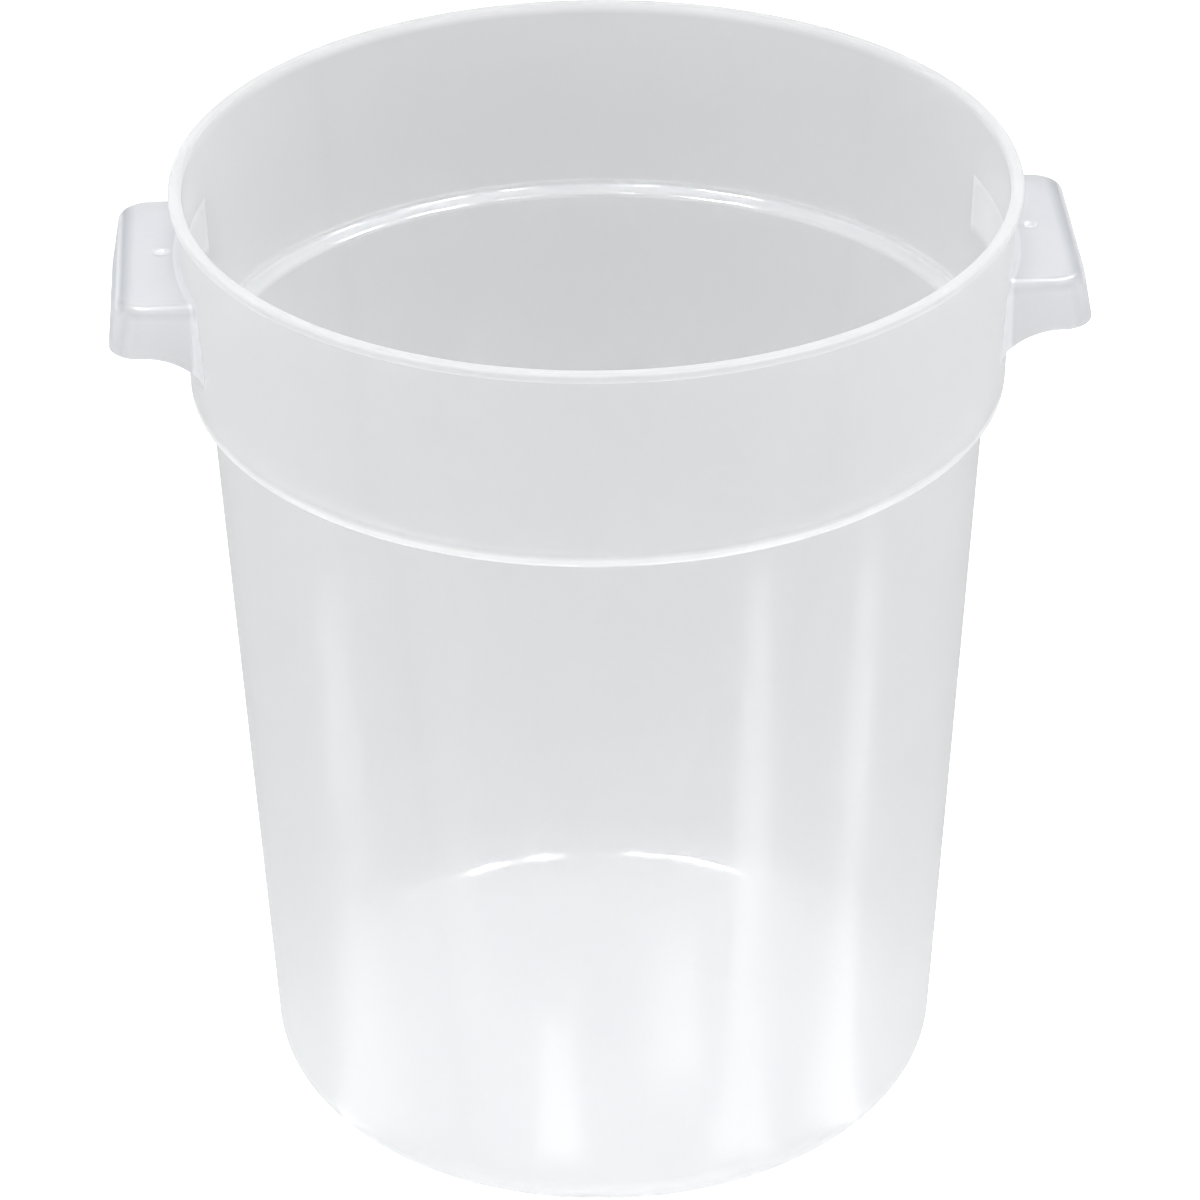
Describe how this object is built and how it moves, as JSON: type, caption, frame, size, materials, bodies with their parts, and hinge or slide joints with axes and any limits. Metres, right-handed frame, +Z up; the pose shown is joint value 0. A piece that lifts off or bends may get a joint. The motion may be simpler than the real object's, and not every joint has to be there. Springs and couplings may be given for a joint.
{
  "type": "dough proofing tub",
  "caption": "Tall round translucent plastic tub with a stepped collar, a rolled rim and two ear handles, for dough or dry food.",
  "frame": {"origin": "centre of the flat base, on the surface that the tub stands on", "axes": "+Z up along the tub's axis; the handles lie on +X (right) and -X (left); the pictured front faces -Y"},
  "size_m": [0.3616, 0.315, 0.38],
  "materials": {
    "polypropylene": "milky translucent moulded polypropylene with a satin sheen"
  },
  "bodies": {
    "root": {"floor_panel": "polypropylene", "heel_ring": "polypropylene", "tub_wall": "polypropylene", "shoulder_ring": "polypropylene", "collar": "polypropylene", "rim_bead": "polypropylene", "left_handle_plate": "polypropylene", "left_handle_lip": "polypropylene", "left_handle_front_web": "polypropylene", "left_handle_back_web": "polypropylene", "right_handle_plate": "polypropylene", "right_handle_lip": "polypropylene", "right_handle_front_web": "polypropylene", "right_handle_back_web": "polypropylene"}
  },
  "joints": []
}
